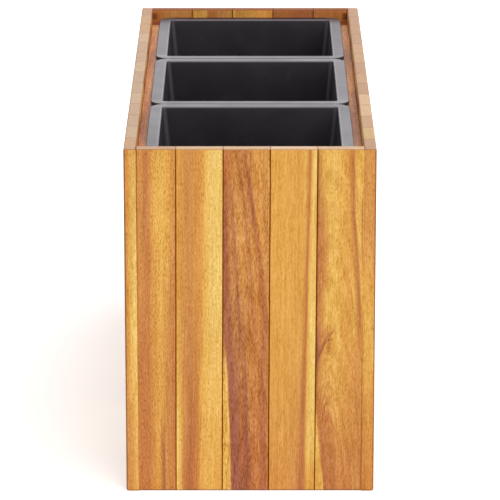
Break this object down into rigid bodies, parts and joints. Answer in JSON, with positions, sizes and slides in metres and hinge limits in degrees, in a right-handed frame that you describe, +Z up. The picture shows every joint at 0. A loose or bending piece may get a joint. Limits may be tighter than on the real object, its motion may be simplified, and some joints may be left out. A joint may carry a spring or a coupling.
{
  "type": "indoor herb planter",
  "caption": "Tall narrow box of upright glued wooden staves, open at the top, carrying square tapered plastic pots in a row; each pot hangs by its rim and lifts out.",
  "frame": {"origin": "on the floor, under the middle of the box", "axes": "+X across the narrow end, to the right as the picture sees it; +Y along the length, away from the pictured end; +Z up"},
  "size_m": [0.325, 0.84, 0.465],
  "materials": {
    "panel_wood": "oiled acacia, satin, boards of mixed tone",
    "batten_wood": "planed, lightly oiled",
    "pot_plastic": "moulded anthracite plastic, satin",
    "screw_steel": "zinc plated"
  },
  "bodies": {
    "box": {"base_rail_front": "batten_wood", "base_rail_left": "batten_wood", "base_rail_rear": "batten_wood", "base_rail_right": "batten_wood", "end_screws": "screw_steel", "front_stave_1": "panel_wood", "front_stave_2": "panel_wood", "front_stave_3": "panel_wood", "front_stave_4": "panel_wood", "front_stave_5": "panel_wood", "ledge_left": "batten_wood", "ledge_right": "batten_wood", "ledge_screws": "screw_steel", "left_stave_1": "panel_wood", "left_stave_10": "panel_wood", "left_stave_11": "panel_wood", "left_stave_12": "panel_wood", "left_stave_13": "panel_wood", "left_stave_14": "panel_wood", "left_stave_2": "panel_wood", "left_stave_3": "panel_wood", "left_stave_4": "panel_wood", "left_stave_5": "panel_wood", "left_stave_6": "panel_wood", "left_stave_7": "panel_wood", "left_stave_8": "panel_wood", "left_stave_9": "panel_wood", "post_front_left": "batten_wood", "post_front_right": "batten_wood", "post_rear_left": "batten_wood", "post_rear_right": "batten_wood", "post_screws": "screw_steel", "rail_screws": "screw_steel", "rear_stave_1": "panel_wood", "rear_stave_2": "panel_wood", "rear_stave_3": "panel_wood", "rear_stave_4": "panel_wood", "rear_stave_5": "panel_wood", "right_stave_1": "panel_wood", "right_stave_10": "panel_wood", "right_stave_11": "panel_wood", "right_stave_12": "panel_wood", "right_stave_13": "panel_wood", "right_stave_14": "panel_wood", "right_stave_2": "panel_wood", "right_stave_3": "panel_wood", "right_stave_4": "panel_wood", "right_stave_5": "panel_wood", "right_stave_6": "panel_wood", "right_stave_7": "panel_wood", "right_stave_8": "panel_wood", "right_stave_9": "panel_wood"},
    "pot_near": {"pot_near": "pot_plastic"},
    "pot_middle": {"pot_middle": "pot_plastic"},
    "pot_far": {"pot_far": "pot_plastic"}
  },
  "joints": [
    {"name": "lift_near", "type": "slide", "parent": "box", "child": "pot_near", "axis": [0, 0, 1], "range_m": [0, 0.27]},
    {"name": "lift_middle", "type": "slide", "parent": "box", "child": "pot_middle", "axis": [0, 0, 1], "range_m": [0, 0.27]},
    {"name": "lift_far", "type": "slide", "parent": "box", "child": "pot_far", "axis": [0, 0, 1], "range_m": [0, 0.27]}
  ]
}
